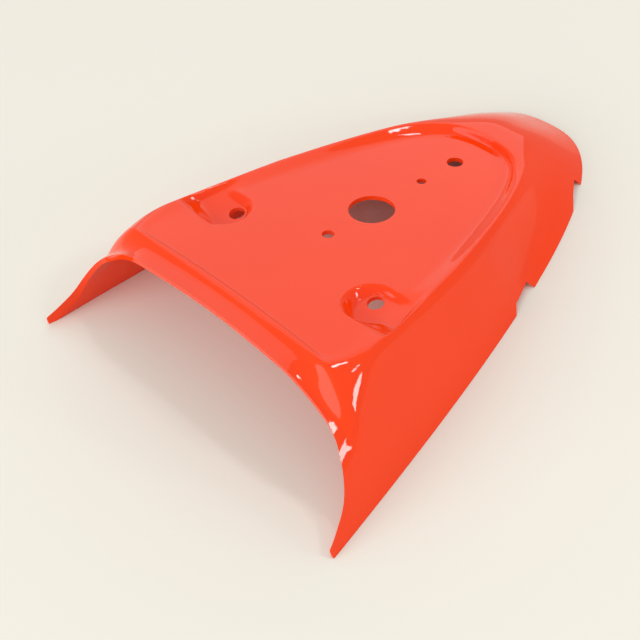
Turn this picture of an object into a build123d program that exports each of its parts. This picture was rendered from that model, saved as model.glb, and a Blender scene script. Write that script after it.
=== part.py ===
from build123d import *
import os
import numpy as np

os.makedirs("parts", exist_ok=True)

# Seat cowl, one moulding. Millimetres. X is across, Y runs from the open front to the tail, Z is up.
# The origin is on the floor under the middle of the part.

# Lower edge seen from above: a rounded wedge from the leg tips to the tail
HALF_WIDTH = 142.6
HALF_LENGTH = 172.5
EDGE_FULL = 2.59
EDGE_TAPER = 0.994

# Flat panel that the seat strap sits on, and the rim round it
PANEL_HEIGHT = 47.2
PANEL_TILT = 11.58
RIM_FRONT = 0.7
RIM_MIDDLE = 2.75
RIM_REAR = 6.4
RIM_RISE = 0.0334

# Crest line, the top edge of the rim, and floor line, the foot of the rim, seen from above
CREST_INSET = 42.4
CREST_FRONT = 13.8
CREST_REAR = 59.0
CREST_FULL = 2.917
CREST_TAPER = 1.22
CREST_CORNER = 15.0
FLOOR_INSET = 55.9
FLOOR_FRONT = 16.8
FLOOR_REAR = 62.2
FLOOR_FULL = 2.79
FLOOR_TAPER = 0.974
FLOOR_CORNER = 12.0
FRONT_BOW = 3.3

# Front arch: a short step down from the crest line, then a lip that runs out level with the panel
ARCH_Y = -124.8
ARCH_BOW = 3.6
ARCH_DROP = 1.6
ARCH_SPAN = 75.0
LIP_STEP = 2.6
LIP_STEP_RUN = 8.0
LIP_FALL_RUN = 16.0
LIP_RISE = 30.0
LIP_SLOPE = 0.72
LIP_ROLL = 1.0

# Bevel that rounds off the two front corners between the lip, the crest and the skirt
BEVEL_RISE = 26.9
BEVEL_SLOPE = 1.05
BEVEL_LIFT = 0.32
BEVEL_SOFT = 8.0

# Skirt between the crest line and the lower edge
SKIRT_RUN = 24.5
SKIRT_RUN_FRONT = 3.3
SKIRT_RUN_REAR = 2.5
SKIRT_BULGE = 0.08
SHOULDER_SIDE = 6.0
SHOULDER_FRONT = 16.0
FLANGE_SLOPE = 0.95
FLANGE_WIDTH = 10.5
FLANGE_START = 17.0
FLANGE_BLEND = 45.0

# Tail dome
TAIL_START = 82.0
TAIL_END = 137.0
TAIL_RUN = 46.0
TAIL_DROP = 0.0006

# Wall
WALL = 3.0

# Holes in the panel, by their place along Y, and the two front mounting holes in their level pads
LATCH_Y = 7.0
LATCH_RADIUS = 15.0
STUD_Y = -29.8
STUD_RADIUS = 4.0
PIN_Y = 50.9
PIN_RADIUS = 3.2
REAR_MOUNT_Y = 81.9
REAR_MOUNT_RADIUS = 5.5
MOUNT_X = 64.4
MOUNT_Y = -51.6
MOUNT_RADIUS = 5.3
PAD_DEPTH = 6.1
PAD_SHIFT_X = 2.0
PAD_SHIFT_Y = -5.5
PAD_INNER = 13.0
PAD_OUTER = 20.0
PAD_HALF = 12.0
PAD_WALL = 5.5
PAD_ROUND = 0.8
PAD_POINTS = 32
PAD_STEPS = (0.0, 0.15, 0.3, 0.45, 0.6, 0.75, 0.9, 1.0, 1.6)

# Shallow steps in the lower edge
STEP_HEIGHT = 5.3
TAIL_STEP_HEIGHT = 4.5

# Construction sizes: how far the skins run past the finished edges, and the floor of the raw solids
OUTSET = 8.0
RAW_FRONT = 32.0
RAW_CORNER = 16.0
RAW_FLOOR = -45.0
COLUMNS = (16, 16, 34, 22)
COVE_STEPS = np.linspace(0.0, 1.0, 5)
SKIRT_STEPS = np.r_[np.linspace(0.02, 0.3, 15), np.linspace(0.34, 1.0, 15)]

SLOPE = np.tan(np.radians(PANEL_TILT))


def smooth(t):
    t = np.clip(t, 0.0, 1.0)
    return t * t * (3.0 - 2.0 * t)


def soft_min(a, b, width):
    h = np.maximum(width - np.abs(a - b), 0.0) / width
    return np.minimum(a, b) - h * h * width / 4.0


def soft_max(a, b, width):
    return -soft_min(-a, -b, width)


def panel(y):
    return PANEL_HEIGHT - SLOPE * y


def wedge(y, half, front, rear, full, taper):
    t = np.clip((y - front) / (rear - front), 0.0, 1.0)
    return half * np.clip(1.0 - t ** taper, 0.0, 1.0) ** (1.0 / full)


def towards(start, end, count):
    # places along Y that crowd together at the blunt rear end of a wedge
    return start + (end - start) * (1.0 - (1.0 - np.linspace(0.0, 1.0, count)) ** 2.5)


def lower_edge():
    y = towards(-HALF_LENGTH, HALF_LENGTH, 600)
    x = wedge(y, HALF_WIDTH, -HALF_LENGTH, HALF_LENGTH, EDGE_FULL, EDGE_TAPER)
    return np.stack([x, y], 1)


EDGE = np.vstack([[HALF_WIDTH, -HALF_LENGTH - 150.0], lower_edge()])


def inside(x, y):
    # distance inwards from the lower edge, seen from above
    start = EDGE[:-1]
    step = EDGE[1:] - EDGE[:-1]
    q = np.stack([np.ravel(x), np.ravel(y)], 1)[:, None, :]
    t = np.clip(((q - start) * step).sum(2) / (step ** 2).sum(1), 0.0, 1.0)
    away = q - (start + t[..., None] * step)
    dist = np.sqrt((away ** 2).sum(2))
    near = dist.argmin(1)
    row = np.arange(len(near))
    side = away[row, near, 0] * step[near, 1] - away[row, near, 1] * step[near, 0]
    return (np.where(side > 0.0, -1.0, 1.0) * dist[row, near]).reshape(np.shape(x))


def rim(y):
    return soft_min(soft_max(RIM_MIDDLE + RIM_RISE * y, RIM_FRONT, 1.5), RIM_REAR, 1.5)


def body(x, y):
    # height of the outer skin outside the crest line
    x = np.abs(x)
    d = inside(x, y)
    bow = np.clip(1.0 - (x / (HALF_WIDTH - CREST_INSET)) ** 2, 0.0, 1.0)
    crest_front = ARCH_Y + CREST_FRONT + FRONT_BOW * bow
    crest_rear = HALF_LENGTH - CREST_REAR
    ridge = panel(np.maximum(y, crest_front)) + rim(y)
    ridge = ridge - TAIL_DROP * np.maximum(y - crest_rear, 0.0) ** 2
    ahead = crest_front - y
    level = panel(np.maximum(y, ARCH_Y - 2.0 * ARCH_BOW)) + rim(y) - LIP_STEP * smooth(ahead / LIP_STEP_RUN)
    level = level - TAIL_DROP * np.maximum(y - crest_rear, 0.0) ** 2
    fall = smooth(ahead / LIP_FALL_RUN)
    lip = soft_min(level - ARCH_DROP * (x / ARCH_SPAN) ** 2, LIP_RISE + LIP_SLOPE * d, 10.0)
    top = level + (lip - level) * fall
    run = SKIRT_RUN + SKIRT_RUN_FRONT * np.clip(-y / 100.0, 0.0, 1.1)
    run = run + SKIRT_RUN_REAR * np.clip(y / 90.0, 0.0, 1.0)
    t = d / run
    tc = np.clip(t, 0.0, 1.0)
    share = tc + SKIRT_BULGE * tc * (1.0 - tc)
    share = share + (1.0 - SKIRT_BULGE) * np.maximum(t - 1.0, 0.0) + (1.0 + SKIRT_BULGE) * np.minimum(t, 0.0)
    crease = FLANGE_SLOPE * FLANGE_WIDTH
    upper = ridge - (ridge - crease) / (run - FLANGE_WIDTH) * (run - d)
    rear = soft_max(FLANGE_SLOPE * d, upper, 4.0)
    skirt = ridge * share
    skirt = skirt + (rear - skirt) * smooth((y - FLANGE_START) / FLANGE_BLEND)
    side = soft_min(skirt, top, SHOULDER_SIDE + (SHOULDER_FRONT - SHOULDER_SIDE) * fall)
    bevel = BEVEL_RISE + BEVEL_SLOPE * d + BEVEL_LIFT * (y - ARCH_Y)
    side = soft_min(side, bevel, BEVEL_SOFT)
    u = np.minimum(d / TAIL_RUN, 1.0)
    dome = ridge * np.where(u > 0.0, 2.0 * u - u * np.abs(u), 2.0 * u)
    return side + (dome - side) * smooth((y - TAIL_START) / (TAIL_END - TAIL_START))


def under(x, y):
    # height of the inner skin: the wall taken off square to the surface, thicker at the rolled front lip
    e = 1.0
    gx = (body(x + e, y) - body(x - e, y)) / (2.0 * e)
    gy = (body(x, y + e) - body(x, y - e)) / (2.0 * e)
    roll = smooth((ARCH_Y + 6.0 - y) / 6.0) * (1.0 - smooth((np.abs(x) - 95.0) / 25.0))
    return body(x, y) - (WALL + LIP_ROLL * roll) * np.sqrt(1.0 + gx ** 2 + gy ** 2)


def even(line, count):
    # the same line with evenly spaced points
    run = np.r_[0.0, np.cumsum(np.linalg.norm(np.diff(line, axis=0), axis=1))]
    at = np.linspace(0.0, run[-1], count)
    return np.stack([np.interp(at, run, line[:, 0]), np.interp(at, run, line[:, 1])], 1)


def joined(parts):
    pieces = [even(line, count + 1) for line, count in zip(parts, COLUMNS)]
    return np.vstack([p[:-1] for p in pieces[:-1]] + [pieces[-1]])


def panel_ring(inset, front, rear, full, taper, corner, outset):
    # half of the crest line or floor line, from the middle of the front round to the middle of the rear
    half = HALF_WIDTH - inset + outset
    y_front = ARCH_Y + front
    y_rear = HALF_LENGTH - rear + outset
    a = np.linspace(0.0, np.pi / 2.0, 60)
    yc = y_front + corner * (1.0 - np.cos(a))
    xc = wedge(yc, half, y_front + 2.0, y_rear, full, taper) - corner * (1.0 - np.sin(a))
    line = np.stack([np.linspace(0.0, xc[0], 60), np.full(60, y_front)], 1)
    turn = np.stack([xc, yc], 1)
    for piece in (line, turn):
        piece[:, 1] += FRONT_BOW * (1.0 - (piece[:, 0] / xc[-1]) ** 2)
    ys = towards(y_front + corner, y_rear, 800)
    side = np.stack([wedge(ys, half, y_front + 2.0, y_rear, full, taper), ys], 1)
    cut = np.searchsorted(ys, y_rear - 22.0)
    return joined([line, turn, side[:cut + 1], side[cut:]])


def raw_ring():
    # half of a line outside the lower edge and well in front of the arch
    line = lower_edge()
    step = np.gradient(line, axis=0)
    out = np.stack([step[:, 1], -step[:, 0]], 1)
    out = out / np.linalg.norm(out, axis=1)[:, None]
    side = line + OUTSET * out
    side[-1, 0] = 0.0
    half = side[0, 0]
    y_front = -HALF_LENGTH - RAW_FRONT
    a = np.linspace(0.0, np.pi / 2.0, 40)
    front = np.array([[0.0, y_front], [half - RAW_CORNER, y_front]])
    turn = np.stack([half - RAW_CORNER * (1.0 - np.sin(a)), y_front + RAW_CORNER * (1.0 - np.cos(a))], 1)
    cut = np.searchsorted(side[:, 1], HALF_LENGTH - 37.0)
    return joined([front, turn, np.vstack([turn[-1], side[:cut + 1]]), side[cut:]])


def skin_rows(height, drop, outset):
    # rows of points from the foot of the rim out to the raw edge
    floor = panel_ring(FLOOR_INSET, FLOOR_FRONT, FLOOR_REAR, FLOOR_FULL, FLOOR_TAPER, FLOOR_CORNER, outset)
    crest = panel_ring(CREST_INSET, CREST_FRONT, CREST_REAR, CREST_FULL, CREST_TAPER, CREST_CORNER, outset)
    raw = raw_ring()
    rows = []
    for c in COVE_STEPS:
        xy = floor + (crest - floor) * c
        base = panel(xy[:, 1]) - drop
        rows.append(np.column_stack([xy, base + (height(xy[:, 0], xy[:, 1]) - base) * smooth(c)]))
    for c in SKIRT_STEPS:
        xy = crest + (raw - crest) * c
        rows.append(np.column_stack([xy, height(xy[:, 0], xy[:, 1])]))
    return rows


def row_spline(row, places):
    return Edge.make_spline([Vector(*p) for p in row], parameters=list(places))


def row_loft(rows, places):
    return Shell.make_loft([Wire([row_spline(row, places)]) for row in rows]).faces()[0]


def long_edges(face):
    # the edges of a skin that run along its rows, shortest first
    return face.edges().filter_by(lambda edge: abs(edge.center().X) > 1.0).sort_by(SortBy.LENGTH)


def closed_solid(rows, bottom):
    # the cove, the skirt, a wall down from its raw edge, the flat panel and a flat underside, sewn into a solid
    runs = [np.r_[0.0, np.cumsum(np.linalg.norm(np.diff(row, axis=0), axis=1))] for row in rows]
    places = np.mean([run / run[-1] for run in runs], axis=0)
    crest = len(COVE_STEPS)
    cove = row_loft(rows[:crest], places)
    skirt = row_loft(rows[crest - 1:], places)
    inner = long_edges(cove)[0]
    raw = long_edges(skirt)[-1]
    flat = rows[-1] * [1, 1, 0] + [0, 0, bottom]
    if raw.position_at(0.0).Y < raw.position_at(1.0).Y:
        foot = row_spline(flat, places)
    else:
        foot = row_spline(flat[::-1], 1.0 - places[::-1])
    wall = Face.make_surface_from_curves(raw, foot)
    half = [cove, skirt, wall]
    caps = [Face(Wire([edge, edge.mirror(Plane.YZ)])) for edge in (inner, foot)]
    return Solid(Shell(half + [face.mirror(Plane.YZ) for face in half] + caps))


def square_to_panel(y, radius):
    # a drill through the panel at a place along Y, square to the panel
    plane = Plane(origin=(0, y, panel(y)), x_dir=(1, 0, 0), z_dir=(0, SLOPE, 1))
    return plane * Cylinder(radius, 40.0)


def pad(grow, low):
    # soft-sided dish round a front mounting hole: a level floor whose walls roll out over the panel
    turn = np.linspace(0.0, 2.0 * np.pi, PAD_POINTS, endpoint=False)
    cos = np.sign(np.cos(turn)) * np.abs(np.cos(turn)) ** PAD_ROUND
    sin = np.sign(np.sin(turn)) * np.abs(np.sin(turn)) ** PAD_ROUND
    rings = []
    for c in PAD_STEPS:
        wide = grow + PAD_WALL * c
        x = MOUNT_X + PAD_SHIFT_X + np.where(cos < 0.0, PAD_INNER + wide, PAD_OUTER + wide) * cos
        y = MOUNT_Y + PAD_SHIFT_Y + (PAD_HALF + wide) * sin
        share = smooth(0.92 * min(c, 1.0)) / smooth(0.92) + 0.4 * max(c - 1.0, 0.0)
        z = low + (panel(y) - low) * min(share, 1.0) + 12.0 * max(share - 1.0, 0.0)
        rings.append(Wire([Edge.make_spline([Vector(*p) for p in zip(x, y, z)], periodic=True)]))
    return Solid.make_loft(rings)


outer = closed_solid(skin_rows(body, 0.0, 0.0), RAW_FLOOR)
hollow = closed_solid(skin_rows(under, WALL * np.sqrt(1.0 + SLOPE ** 2), WALL), RAW_FLOOR - 5.0)

# Everything behind the front edge of the arch and above the floor is kept
insets = (54.6, 33.6, 20.8, 11.8, 6.6)
drops = (ARCH_BOW, ARCH_BOW + 2.8, ARCH_BOW + 10.2, ARCH_BOW + 20.2, ARCH_BOW + 31.6)
leg = [(0, ARCH_Y)] + [(HALF_WIDTH - a, ARCH_Y - b) for a, b in zip(insets, drops)]
tip = (HALF_WIDTH - 2.2, -HALF_LENGTH)
far = HALF_WIDTH + 60.0
sweep = Edge.make_spline([Vector(*p) for p in leg + [tip]], tangents=[Vector(1, 0), Vector(0.3, -1)])
edges = [sweep, Edge.make_line(tip, (far, -HALF_LENGTH))]
edges += [Edge.make_line((far, -HALF_LENGTH), (far, HALF_LENGTH + 60))]
edges += [Edge.make_line((far, HALF_LENGTH + 60), (0, HALF_LENGTH + 60))]
edges += [edge.mirror(Plane.YZ) for edge in edges]
keep = extrude(Face(Wire(edges)), 200.0, dir=(0, 0, 1))

# Front mounting pads: the boss under each pocket is left standing in the hollow
pad_level = panel(MOUNT_Y) - PAD_DEPTH
pocket = pad(0.0, pad_level)
boss = pad(WALL, pad_level - WALL)
hollow = hollow - [boss, boss.mirror(Plane.YZ)]
cuts = [hollow, pocket, pocket.mirror(Plane.YZ)]

# Holes
for x in (-MOUNT_X, MOUNT_X):
    cuts.append(Pos(x, MOUNT_Y, pad_level) * Cylinder(MOUNT_RADIUS, 20.0))
for y, radius in ((LATCH_Y, LATCH_RADIUS), (STUD_Y, STUD_RADIUS), (PIN_Y, PIN_RADIUS),
                  (REAR_MOUNT_Y, REAR_MOUNT_RADIUS)):
    cuts.append(square_to_panel(y, radius))

# Steps in the lower edge behind the middle and in front of the tail
step = Polygon((22, -1), (28, STEP_HEIGHT - 0.6), (45, STEP_HEIGHT), (48.5, -1), align=None)
tail_step = Polygon((112, -1), (124, TAIL_STEP_HEIGHT - 1.2), (135, TAIL_STEP_HEIGHT), (137.5, -1), align=None)
for outline in (step, tail_step):
    cuts.append(extrude(Plane.YZ * outline, 200.0, both=True))

cowl = (outer & keep) - cuts

export_step(cowl, "parts/seat_cowl.step")
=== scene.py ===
import math

import bmesh
import bpy
import numpy as np
from mathutils import Matrix, Vector
from mathutils.bvhtree import BVHTree


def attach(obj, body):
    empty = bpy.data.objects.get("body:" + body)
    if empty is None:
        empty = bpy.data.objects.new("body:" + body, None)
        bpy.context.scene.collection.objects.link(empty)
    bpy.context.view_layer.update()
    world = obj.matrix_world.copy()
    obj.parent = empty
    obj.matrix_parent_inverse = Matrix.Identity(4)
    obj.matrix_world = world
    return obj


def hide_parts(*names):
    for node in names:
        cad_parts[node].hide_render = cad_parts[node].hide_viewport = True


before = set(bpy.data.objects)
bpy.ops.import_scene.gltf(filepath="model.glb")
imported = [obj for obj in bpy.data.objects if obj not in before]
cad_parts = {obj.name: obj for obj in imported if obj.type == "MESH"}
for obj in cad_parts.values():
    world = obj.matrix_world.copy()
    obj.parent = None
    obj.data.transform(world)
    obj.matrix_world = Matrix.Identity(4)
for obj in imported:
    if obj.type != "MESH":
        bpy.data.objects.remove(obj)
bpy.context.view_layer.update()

MM = 0.001

# Shape of the outer skin, the same values as in the part's source, in millimetres
HALF_WIDTH = 142.6
HALF_LENGTH = 172.5
EDGE_FULL = 2.59
EDGE_TAPER = 0.994
PANEL_HEIGHT = 47.2
PANEL_TILT = 11.58
RIM_FRONT = 0.7
RIM_MIDDLE = 2.75
RIM_REAR = 6.4
RIM_RISE = 0.0334
RIM_SOFT = 1.5
CREST_INSET = 42.4
CREST_FRONT = 13.8
CREST_REAR = 59.0
CREST_FULL = 2.917
CREST_TAPER = 1.22
CREST_CORNER = 15.0
FLOOR_INSET = 55.9
FLOOR_FRONT = 16.8
FLOOR_REAR = 62.2
FLOOR_FULL = 2.79
FLOOR_TAPER = 0.974
FLOOR_CORNER = 12.0
FRONT_BOW = 3.3
ARCH_Y = -124.8
ARCH_BOW = 3.6
ARCH_DROP = 1.6
ARCH_SPAN = 75.0
LIP_STEP = 2.6
LIP_STEP_RUN = 8.0
LIP_FALL_RUN = 16.0
LIP_RISE = 30.0
LIP_SLOPE = 0.72
LIP_SOFT = 10.0
BEVEL_RISE = 26.9
BEVEL_SLOPE = 1.05
BEVEL_LIFT = 0.32
BEVEL_SOFT = 8.0
SKIRT_RUN = 24.5
SKIRT_RUN_FRONT = 3.3
SKIRT_FRONT_SPAN = 100.0
SKIRT_FRONT_MOST = 1.1
SKIRT_RUN_REAR = 2.5
SKIRT_REAR_SPAN = 90.0
SKIRT_BULGE = 0.08
SHOULDER_SIDE = 6.0
SHOULDER_FRONT = 16.0
FLANGE_SLOPE = 0.95
FLANGE_WIDTH = 10.5
FLANGE_START = 17.0
FLANGE_BLEND = 45.0
CREASE_SOFT = 4.0
TAIL_START = 82.0
TAIL_END = 137.0
TAIL_RUN = 46.0
TAIL_DROP = 0.0006
OUTSET = 8.0
RAW_FRONT = 32.0
RAW_CORNER = 16.0
WALL = 3.0
MOUNT_X = 64.4
MOUNT_Y = -51.6
PAD_DEPTH = 6.1
SLOPE = math.tan(math.radians(PANEL_TILT))

# Density of the skin's grid: points along each stretch of a ring, and rows from ring to ring
COLUMNS = (24, 30, 70, 50)
COVE_STEPS = np.linspace(0.0, 1.0, 17)
SKIRT_STEPS = np.r_[np.linspace(0.005, 0.2, 40), np.linspace(0.215, 1.0, 50)]
EDGE_POINTS = 500
EDGE_LEAD = 150.0
CROWDING = 2.5
CORNER_POINTS = 60
SIDE_POINTS = 800
RAW_POINTS = 600
RAW_CORNER_POINTS = 40
RING_LEAD = 2.0
RING_TAIL = 22.0
RAW_TAIL = 37.0
BATCH = 2000
TINY = 1e-12

# Camera solved from the photograph, in millimetres, degrees and pixels
CAMERA_AT = (0.0, -52.207, -7.290)
CAMERA_AZIMUTH = 58.377
CAMERA_HEIGHT = 46.614
CAMERA_ROLL = 15.474
CAMERA_DISTANCE = 889.782
FOCAL_PIXELS = 1373.502
IMAGE_SIZE = 640
SENSOR = 36.0


def smooth(t):
    t = np.clip(t, 0.0, 1.0)
    return t * t * (3.0 - 2.0 * t)


def soft_min(a, b, width):
    h = np.maximum(width - np.abs(a - b), 0.0) / width
    return np.minimum(a, b) - h * h * width / 4.0


def soft_max(a, b, width):
    return -soft_min(-a, -b, width)


def panel(y):
    return PANEL_HEIGHT - SLOPE * y


def wedge(y, half, front, rear, full, taper):
    t = np.clip((y - front) / (rear - front), 0.0, 1.0)
    return half * np.clip(1.0 - t ** taper, 0.0, 1.0) ** (1.0 / full)


def towards(start, end, count):
    # steps from start to end that crowd together near the end
    return start + (end - start) * (1.0 - (1.0 - np.linspace(0.0, 1.0, count)) ** CROWDING)


def lower_edge(count):
    y = towards(-HALF_LENGTH, HALF_LENGTH, count)
    x = wedge(y, HALF_WIDTH, -HALF_LENGTH, HALF_LENGTH, EDGE_FULL, EDGE_TAPER)
    return np.stack([x, y], 1)


EDGE = np.vstack([[HALF_WIDTH, -HALF_LENGTH - EDGE_LEAD], lower_edge(EDGE_POINTS)])


def inside(x, y):
    # distance inwards from the lower edge, seen from above
    start = EDGE[:-1]
    step = EDGE[1:] - EDGE[:-1]
    length = (step ** 2).sum(1)
    points = np.stack([np.ravel(x), np.ravel(y)], 1)
    out = np.empty(len(points))
    for i in range(0, len(points), BATCH):
        q = points[i:i + BATCH, None, :]
        t = np.clip(((q - start) * step).sum(2) / length, 0.0, 1.0)
        away = q - (start + t[..., None] * step)
        dist = np.sqrt((away ** 2).sum(2))
        near = dist.argmin(1)
        row = np.arange(len(near))
        side = away[row, near, 0] * step[near, 1] - away[row, near, 1] * step[near, 0]
        out[i:i + BATCH] = np.where(side > 0.0, -1.0, 1.0) * dist[row, near]
    return out.reshape(np.shape(x))


def rim(y):
    return soft_min(soft_max(RIM_MIDDLE + RIM_RISE * y, RIM_FRONT, RIM_SOFT), RIM_REAR, RIM_SOFT)


def body(x, y):
    # height of the outer skin outside the crest line
    x = np.abs(x)
    d = inside(x, y)
    bow = np.clip(1.0 - (x / (HALF_WIDTH - CREST_INSET)) ** 2, 0.0, 1.0)
    crest_front = ARCH_Y + CREST_FRONT + FRONT_BOW * bow
    crest_rear = HALF_LENGTH - CREST_REAR
    sag = TAIL_DROP * np.maximum(y - crest_rear, 0.0) ** 2
    ridge = panel(np.maximum(y, crest_front)) + rim(y)
    ridge = ridge - sag
    ahead = crest_front - y
    level = panel(np.maximum(y, ARCH_Y - 2.0 * ARCH_BOW)) + rim(y) - LIP_STEP * smooth(ahead / LIP_STEP_RUN)
    level = level - sag
    fall = smooth(ahead / LIP_FALL_RUN)
    lip = soft_min(level - ARCH_DROP * (x / ARCH_SPAN) ** 2, LIP_RISE + LIP_SLOPE * d, LIP_SOFT)
    top = level + (lip - level) * fall
    run = SKIRT_RUN + SKIRT_RUN_FRONT * np.clip(-y / SKIRT_FRONT_SPAN, 0.0, SKIRT_FRONT_MOST)
    run = run + SKIRT_RUN_REAR * np.clip(y / SKIRT_REAR_SPAN, 0.0, 1.0)
    t = d / run
    tc = np.clip(t, 0.0, 1.0)
    share = tc + SKIRT_BULGE * tc * (1.0 - tc)
    share = share + (1.0 - SKIRT_BULGE) * np.maximum(t - 1.0, 0.0)
    share = share + (1.0 + SKIRT_BULGE) * np.minimum(t, 0.0)
    crease = FLANGE_SLOPE * FLANGE_WIDTH
    upper = ridge - (ridge - crease) / (run - FLANGE_WIDTH) * (run - d)
    rear = soft_max(FLANGE_SLOPE * d, upper, CREASE_SOFT)
    skirt = ridge * share
    skirt = skirt + (rear - skirt) * smooth((y - FLANGE_START) / FLANGE_BLEND)
    side = soft_min(skirt, top, SHOULDER_SIDE + (SHOULDER_FRONT - SHOULDER_SIDE) * fall)
    bevel = BEVEL_RISE + BEVEL_SLOPE * d + BEVEL_LIFT * (y - ARCH_Y)
    side = soft_min(side, bevel, BEVEL_SOFT)
    u = np.minimum(d / TAIL_RUN, 1.0)
    dome = ridge * np.where(u > 0.0, 2.0 * u - u * np.abs(u), 2.0 * u)
    return side + (dome - side) * smooth((y - TAIL_START) / (TAIL_END - TAIL_START))


def even(line, count):
    run = np.r_[0.0, np.cumsum(np.linalg.norm(np.diff(line, axis=0), axis=1))]
    at = np.linspace(0.0, run[-1], count)
    return np.stack([np.interp(at, run, line[:, 0]), np.interp(at, run, line[:, 1])], 1)


def joined(parts):
    pieces = [even(line, count + 1) for line, count in zip(parts, COLUMNS)]
    return np.vstack([p[:-1] for p in pieces[:-1]] + [pieces[-1]])


def panel_ring(inset, front, rear, full, taper, corner):
    # right half of a line round the panel, from the middle of the front to the middle of the rear
    half = HALF_WIDTH - inset
    y_front = ARCH_Y + front
    y_rear = HALF_LENGTH - rear
    a = np.linspace(0.0, np.pi / 2.0, CORNER_POINTS)
    yc = y_front + corner * (1.0 - np.cos(a))
    xc = wedge(yc, half, y_front + RING_LEAD, y_rear, full, taper) - corner * (1.0 - np.sin(a))
    line = np.stack([np.linspace(0.0, xc[0], CORNER_POINTS), np.full(CORNER_POINTS, y_front)], 1)
    turn = np.stack([xc, yc], 1)
    for piece in (line, turn):
        piece[:, 1] += FRONT_BOW * (1.0 - (piece[:, 0] / xc[-1]) ** 2)
    ys = towards(y_front + corner, y_rear, SIDE_POINTS)
    side = np.stack([wedge(ys, half, y_front + RING_LEAD, y_rear, full, taper), ys], 1)
    cut = np.searchsorted(ys, y_rear - RING_TAIL)
    return joined([line, turn, side[:cut + 1], side[cut:]])


def crest_ring():
    return panel_ring(CREST_INSET, CREST_FRONT, CREST_REAR, CREST_FULL, CREST_TAPER, CREST_CORNER)


def raw_ring():
    # right half of the skin's outermost line, a little outside the lower edge
    line = lower_edge(RAW_POINTS)
    step = np.gradient(line, axis=0)
    out = np.stack([step[:, 1], -step[:, 0]], 1)
    out = out / np.linalg.norm(out, axis=1)[:, None]
    side = line + OUTSET * out
    side[-1, 0] = 0.0
    half = side[0, 0]
    y_front = -HALF_LENGTH - RAW_FRONT
    a = np.linspace(0.0, np.pi / 2.0, RAW_CORNER_POINTS)
    front = np.array([[0.0, y_front], [half - RAW_CORNER, y_front]])
    turn = [half - RAW_CORNER * (1.0 - np.sin(a)), y_front + RAW_CORNER * (1.0 - np.cos(a))]
    turn = np.stack(turn, 1)
    cut = np.searchsorted(side[:, 1], HALF_LENGTH - RAW_TAIL)
    return joined([front, turn, np.vstack([turn[-1], side[:cut + 1]]), side[cut:]])


def skin_grid():
    # right half of the outer skin as a dense grid of points, with a normal at each
    floor = panel_ring(FLOOR_INSET, FLOOR_FRONT, FLOOR_REAR, FLOOR_FULL, FLOOR_TAPER, FLOOR_CORNER)
    crest = crest_ring()
    raw = raw_ring()
    rows = []
    for c in COVE_STEPS:
        xy = floor + (crest - floor) * c
        base = panel(xy[:, 1])
        rows.append(np.column_stack([xy, base + (body(xy[:, 0], xy[:, 1]) - base) * smooth(c)]))
    for c in SKIRT_STEPS:
        xy = crest + (raw - crest) * c
        rows.append(np.column_stack([xy, body(xy[:, 0], xy[:, 1])]))
    grid = np.array(rows)
    mirror = np.array([-1.0, 1.0, 1.0])
    wide = np.concatenate([grid[:, 1:2] * mirror, grid, grid[:, -2:-1] * mirror], 1)
    along = wide[:, 2:] - wide[:, :-2]
    down = np.gradient(grid, axis=0)
    normal = np.cross(down, along)
    normal *= np.sign(normal[..., 2:3] + TINY)
    normal /= np.linalg.norm(normal, axis=2)[..., None] + TINY
    return grid, normal


class Skin:
    # the skin outside the panel: its smooth normal near a point, and its height at a place
    def __init__(self):
        grid, normal = skin_grid()
        rows, columns = grid.shape[:2]
        self.points = grid.reshape(-1, 3)
        self.normals = normal.reshape(-1, 3)
        self.triangles = []
        for r in range(rows - 1):
            for c in range(columns - 1):
                k = r * columns + c
                self.triangles.append((k, k + 1, k + columns))
                self.triangles.append((k + 1, k + columns + 1, k + columns))
        corners = [Vector(p) for p in self.points]
        self.tree = BVHTree.FromPolygons(corners, self.triangles, all_triangles=True)

    def near(self, x, y, z):
        sign = -1.0 if x < 0.0 else 1.0
        spot, _, index, distance = self.tree.find_nearest(Vector((x * sign, y, z)))
        a, b, c = (self.points[i] for i in self.triangles[index])
        na, nb, nc = (self.normals[i] for i in self.triangles[index])
        p = np.array(spot)
        full = np.cross(b - a, c - a)
        area = full.dot(full) + TINY
        wa = np.cross(b - p, c - p).dot(full) / area
        wb = np.cross(c - p, a - p).dot(full) / area
        n = na * wa + nb * wb + nc * (1.0 - wa - wb)
        n /= np.linalg.norm(n) + TINY
        return Vector((n[0] * sign, n[1], n[2])), distance

    def height(self, x, y):
        hit = self.tree.ray_cast(Vector((abs(x), y, 2.0 * PANEL_HEIGHT)), Vector((0.0, 0.0, -1.0)))[0]
        return panel(y) if hit is None else hit.z


# Pads sunk in the panel's front corners, level round the hole and open towards the rim, in millimetres
PAD_LOW = panel(MOUNT_Y) - PAD_DEPTH
PAD_OUTER_START = 72.0
PAD_OUTER_RISE = 0.17
PAD_OUTER_SOFT = 6.0
PAD_INNER = 49.5
PAD_FRONT = -75.0
PAD_REAR = -38.5
PAD_TURN = 18.0
PAD_WALL = 7.0
PAD_RAMP = 9.0
PAD_RAMP_START = 62.0
PAD_RAMP_SPAN = 26.0
PAD_FADE = 16.0
PAD_FADE_FROM = (70.0, -42.0)
PAD_FADE_WAY = (-0.894, 0.447)
PAD_FOOT = 74.9
PAD_FOOT_SLOPE = 0.256
PAD_SOFT = 1.0
PAD_KEEP = 7.0
PAD_ACROSS = (42.0, 99.0)
PAD_ALONG = (-82.0, -12.0)
PAD_EDGE = 1.2
RIM_GAP = 0.3
SLOPE_STEP = 0.15


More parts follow.
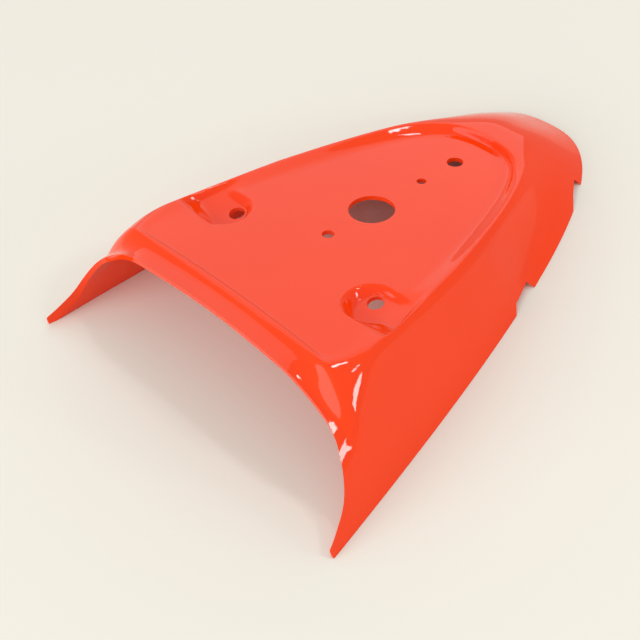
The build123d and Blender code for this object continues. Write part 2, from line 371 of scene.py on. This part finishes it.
class Pads:
    # height of the panel's top side round the pads
    def __init__(self, skin):
        self.skin = skin
        crest = crest_ring()
        side = crest[np.argmax(crest[:, 0] > PAD_ACROSS[0]):]
        self.crest = side[np.argsort(side[:, 1])]

    def rim_x(self, y):
        return np.interp(y, self.crest[:, 1], self.crest[:, 0])

    def covers(self, x, y):
        outer = min(PAD_ACROSS[1], self.rim_x(y) - RIM_GAP)
        return PAD_ACROSS[0] < abs(x) < outer and PAD_ALONG[0] < y < PAD_ALONG[1]

    def sunk(self, x, y):
        # share of the way from the panel down to the pad's floor
        middle = (PAD_FRONT + PAD_REAR) / 2.0
        across = PAD_INNER - x + PAD_TURN
        along = abs(y - middle) - (PAD_REAR - PAD_FRONT) / 2.0 + PAD_TURN
        edge = math.hypot(max(across, 0.0), max(along, 0.0)) + min(max(across, along), 0.0) - PAD_TURN
        nose = smooth(-edge / PAD_WALL)
        run_out = PAD_FADE_WAY[0] * (x - PAD_FADE_FROM[0]) + PAD_FADE_WAY[1] * (y - PAD_FADE_FROM[1])
        rear = smooth(-run_out / PAD_FADE)
        ramp = PAD_WALL + PAD_RAMP * smooth((x - PAD_RAMP_START) / PAD_RAMP_SPAN)
        front = smooth((y - PAD_FRONT) / ramp)
        foot = PAD_FOOT - PAD_FOOT_SLOPE * y
        rise = smooth((x - foot) / (self.rim_x(y) - foot))
        return (1.0 - (1.0 - nose) * (1.0 - rear)) * front * (1.0 - rise)

    def height(self, x, y):
        x = abs(x)
        base = self.skin.height(x, y)
        low = PAD_LOW + PAD_OUTER_RISE * soft_max(x - PAD_OUTER_START, 0.0, PAD_OUTER_SOFT)
        return float(base - soft_max(base - low, 0.0, PAD_SOFT) * self.sunk(x, y))

    def normal(self, x, y):
        e = SLOPE_STEP
        dx = (self.height(x + e, y) - self.height(x - e, y)) / (2.0 * e)
        dy = (self.height(x, y + e) - self.height(x, y - e)) / (2.0 * e)
        return Vector((-dx, -dy, 1.0)).normalized()


# The dressed cowl: the solid's own mesh, divided finely, with the open pads and the smooth skin's normals
SNAP = 0.3
LONGEST_EDGE = 4.0
SHARP = math.radians(28.0)
SAME_WAY = 0.8
UPWARD = 0.2
MERGE = 0.001
ROUNDS = 6


def make_triangles(bm):
    bmesh.ops.triangulate(bm, faces=[f for f in bm.faces if len(f.verts) > 3])


def divide(bm, too_long):
    for _ in range(ROUNDS):
        long = [e for e in bm.edges if too_long(e)]
        if not long:
            break
        bmesh.ops.subdivide_edges(bm, edges=long, cuts=1, use_single_edge=True)
        make_triangles(bm)
        bmesh.ops.dissolve_degenerate(bm, dist=MERGE * MM, edges=bm.edges[:])
        make_triangles(bm)
    bm.normal_update()


def form_pads(bm, pads):
    # lays the top side on the pads' height and keeps the wall below it; returns the top side's normals
    def too_long(e):
        a, b = e.verts
        middle = (a.co + b.co) / (2.0 * MM)
        up = a.normal.z + b.normal.z > 2.0 * UPWARD
        return up and e.calc_length() > PAD_EDGE * MM and pads.covers(middle.x, middle.y)

    divide(bm, too_long)
    bm.verts.index_update()
    normals = {}
    for v in bm.verts:
        x, y, z = v.co / MM
        by_hole = math.hypot(abs(x) - MOUNT_X, y - MOUNT_Y) < PAD_KEEP
        if by_hole or not pads.covers(x, y):
            continue
        top = pads.height(x, y)
        if v.normal.z > UPWARD or z > pads.skin.height(x, y) - WALL / 2.0:
            v.co.z = top * MM
            normals[v.index] = pads.normal(x, y)
        elif v.normal.z < -UPWARD and z > top - WALL:
            v.co.z = (top - WALL) * MM
    bm.normal_update()
    return normals


def dressed_mesh(source):
    skin = Skin()
    bm = bmesh.new()
    bm.from_mesh(source.data)
    bmesh.ops.remove_doubles(bm, verts=bm.verts, dist=MERGE * MM)
    divide(bm, lambda e: e.calc_length() > LONGEST_EDGE * MM)
    smooth_normals = form_pads(bm, Pads(skin))
    for v in bm.verts:
        if v.index not in smooth_normals:
            normal, distance = skin.near(*(v.co / MM))
            if distance < SNAP:
                smooth_normals[v.index] = normal
    on_skin = []
    for f in bm.faces:
        known = all(v.index in smooth_normals for v in f.verts)
        on_skin.append(known and all(smooth_normals[v.index].dot(f.normal) > SAME_WAY for v in f.verts))
        f.smooth = True
        for e in f.edges:
            if len(e.link_faces) == 2 and e.calc_face_angle(0.0) > SHARP:
                e.smooth = False
    mesh = bpy.data.meshes.new("seat_cowl_paint")
    bm.to_mesh(mesh)
    bm.free()
    plain = [Vector(n.vector) for n in mesh.corner_normals]
    custom = []
    for polygon in mesh.polygons:
        for loop in polygon.loop_indices:
            v = mesh.loops[loop].vertex_index
            custom.append(smooth_normals[v] if on_skin[polygon.index] else plain[loop])
    mesh.normals_split_custom_set(custom)
    return mesh


# Paint: solid red under clear lacquer, with a faint orange peel, uneven gloss and colour drift
DEEP_RED = (0.88, 0.043, 0.001, 1.0)
BRIGHT_RED = (0.92, 0.049, 0.002, 1.0)
NOISE_LOW = 0.3
NOISE_HIGH = 0.7
ROUGH_LEAST = 0.30
ROUGH_MOST = 0.38


def node(tree, kind, **inputs):
    made = tree.nodes.new(kind)
    for name, value in inputs.items():
        made.inputs[name.replace("_", " ")].default_value = value
    return made


def red_paint():
    material = bpy.data.materials.new("red_paint")
    material.use_nodes = True
    tree = material.node_tree
    shader = tree.nodes["Principled BSDF"]
    link = tree.links.new
    where = tree.nodes.new("ShaderNodeTexCoord")
    drift = node(tree, "ShaderNodeTexNoise", Scale=9.0, Detail=3.0)
    link(where.outputs["Object"], drift.inputs["Vector"])
    ramp = tree.nodes.new("ShaderNodeValToRGB")
    stops = ((NOISE_LOW, DEEP_RED), (NOISE_HIGH, BRIGHT_RED))
    for element, (position, color) in zip(ramp.color_ramp.elements, stops):
        element.position = position
        element.color = color
    link(drift.outputs["Fac"], ramp.inputs["Fac"])
    link(ramp.outputs["Color"], shader.inputs["Base Color"])
    haze = node(tree, "ShaderNodeTexNoise", Scale=38.0, Detail=5.0)
    link(where.outputs["Object"], haze.inputs["Vector"])
    rough = tree.nodes.new("ShaderNodeMapRange")
    rough.inputs["From Min"].default_value = NOISE_LOW
    rough.inputs["From Max"].default_value = NOISE_HIGH
    rough.inputs["To Min"].default_value = ROUGH_LEAST
    rough.inputs["To Max"].default_value = ROUGH_MOST
    link(haze.outputs["Fac"], rough.inputs["Value"])
    link(rough.outputs["Result"], shader.inputs["Roughness"])
    peel = node(tree, "ShaderNodeTexNoise", Scale=420.0, Detail=2.0)
    link(where.outputs["Object"], peel.inputs["Vector"])
    bump = node(tree, "ShaderNodeBump", Strength=0.02, Distance=0.0004)
    link(peel.outputs["Fac"], bump.inputs["Height"])
    link(bump.outputs["Normal"], shader.inputs["Normal"])
    link(bump.outputs["Normal"], shader.inputs["Coat Normal"])
    shader.inputs["Specular IOR Level"].default_value = 0.0
    shader.inputs["Coat Weight"].default_value = 1.0
    shader.inputs["Coat Roughness"].default_value = 0.03
    shader.inputs["Coat IOR"].default_value = 1.4
    return material


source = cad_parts["seat_cowl"]
cowl = bpy.data.objects.new("cowl_paint", dressed_mesh(source))
bpy.context.scene.collection.objects.link(cowl)
cowl.data.materials.append(red_paint())
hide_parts("seat_cowl")
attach(cowl, "root")

# Floor: one plain warm white sheet, in metres
FLOOR_SIZE = 6.0
FLOOR_DROP = 0.0002


def floor_paper():
    material = bpy.data.materials.new("floor_paper")
    material.use_nodes = True
    shader = material.node_tree.nodes["Principled BSDF"]
    shader.inputs["Base Color"].default_value = (0.80, 0.78, 0.71, 1.0)
    shader.inputs["Roughness"].default_value = 0.9
    shader.inputs["Specular IOR Level"].default_value = 0.1
    return material


bm = bmesh.new()
bmesh.ops.create_grid(bm, x_segments=4, y_segments=4, size=FLOOR_SIZE / 2.0)
floor_mesh = bpy.data.meshes.new("floor")
bm.to_mesh(floor_mesh)
bm.free()
floor = bpy.data.objects.new("floor", floor_mesh)
floor_mesh.materials.append(floor_paper())
bpy.context.scene.collection.objects.link(floor)
floor.location.z = -FLOOR_DROP

# Light: a pale room, two small windows, a ceiling lamp and two large pale surfaces


def bearing(azimuth, height):
    # direction from the part; the azimuth runs from the open front towards +X, in degrees
    a = math.radians(azimuth)
    e = math.radians(height)
    return Vector((math.sin(a) * math.cos(e), -math.cos(a) * math.cos(e), math.sin(e)))


def soft_box(name, azimuth, height, distance, wide, tall, radiance):
    # a rectangular lamp that faces the part, sizes in metres
    way = bearing(azimuth, height)
    light = bpy.data.lights.new(name, "AREA")
    light.shape = "RECTANGLE"
    light.size = wide
    light.size_y = tall
    light.energy = radiance * math.pi * wide * tall
    lamp = bpy.data.objects.new(name, light)
    lamp.location = way * distance
    lamp.rotation_euler = way.to_track_quat("Z", "Y").to_euler()
    bpy.context.scene.collection.objects.link(lamp)


world = bpy.data.worlds.new("room")
bpy.context.scene.world = world
world.use_nodes = True
background = world.node_tree.nodes["Background"]
background.inputs["Color"].default_value = (1.0, 0.985, 0.95, 1.0)
background.inputs["Strength"].default_value = 0.62
soft_box("window_upper", 114.0, 41.0, 1.6, 0.22, 0.18, 22.0)
soft_box("window_lower", 111.0, 15.0, 1.6, 0.20, 0.26, 18.0)
soft_box("ceiling_lamp", 160.0, 66.0, 1.5, 0.22, 0.09, 26.0)
soft_box("pale_wall", -131.0, 38.0, 2.0, 2.0, 1.7, 0.8)
soft_box("front_card", -4.0, 24.0, 2.2, 3.0, 1.6, 2.4)

# Camera at the photograph's place, rolled as the photograph is
azimuth = math.radians(CAMERA_AZIMUTH)
roll = math.radians(CAMERA_ROLL)
back = bearing(CAMERA_AZIMUTH, CAMERA_HEIGHT)
flat_right = Vector((math.cos(azimuth), math.sin(azimuth), 0.0))
flat_up = back.cross(flat_right)
right = flat_right * math.cos(roll) - flat_up * math.sin(roll)
up = flat_right * math.sin(roll) + flat_up * math.cos(roll)
place = (Vector(CAMERA_AT) + back * CAMERA_DISTANCE) * MM
lens = bpy.data.cameras.new("camera")
lens.sensor_width = SENSOR
lens.lens = FOCAL_PIXELS / IMAGE_SIZE * SENSOR
lens.clip_start = 0.01
camera = bpy.data.objects.new("camera", lens)
turn = Matrix((right, up, back)).transposed().to_4x4()
camera.matrix_world = Matrix.Translation(place) @ turn
bpy.context.scene.collection.objects.link(camera)
bpy.context.scene.camera = camera

bpy.context.scene.view_settings.view_transform = "Standard"
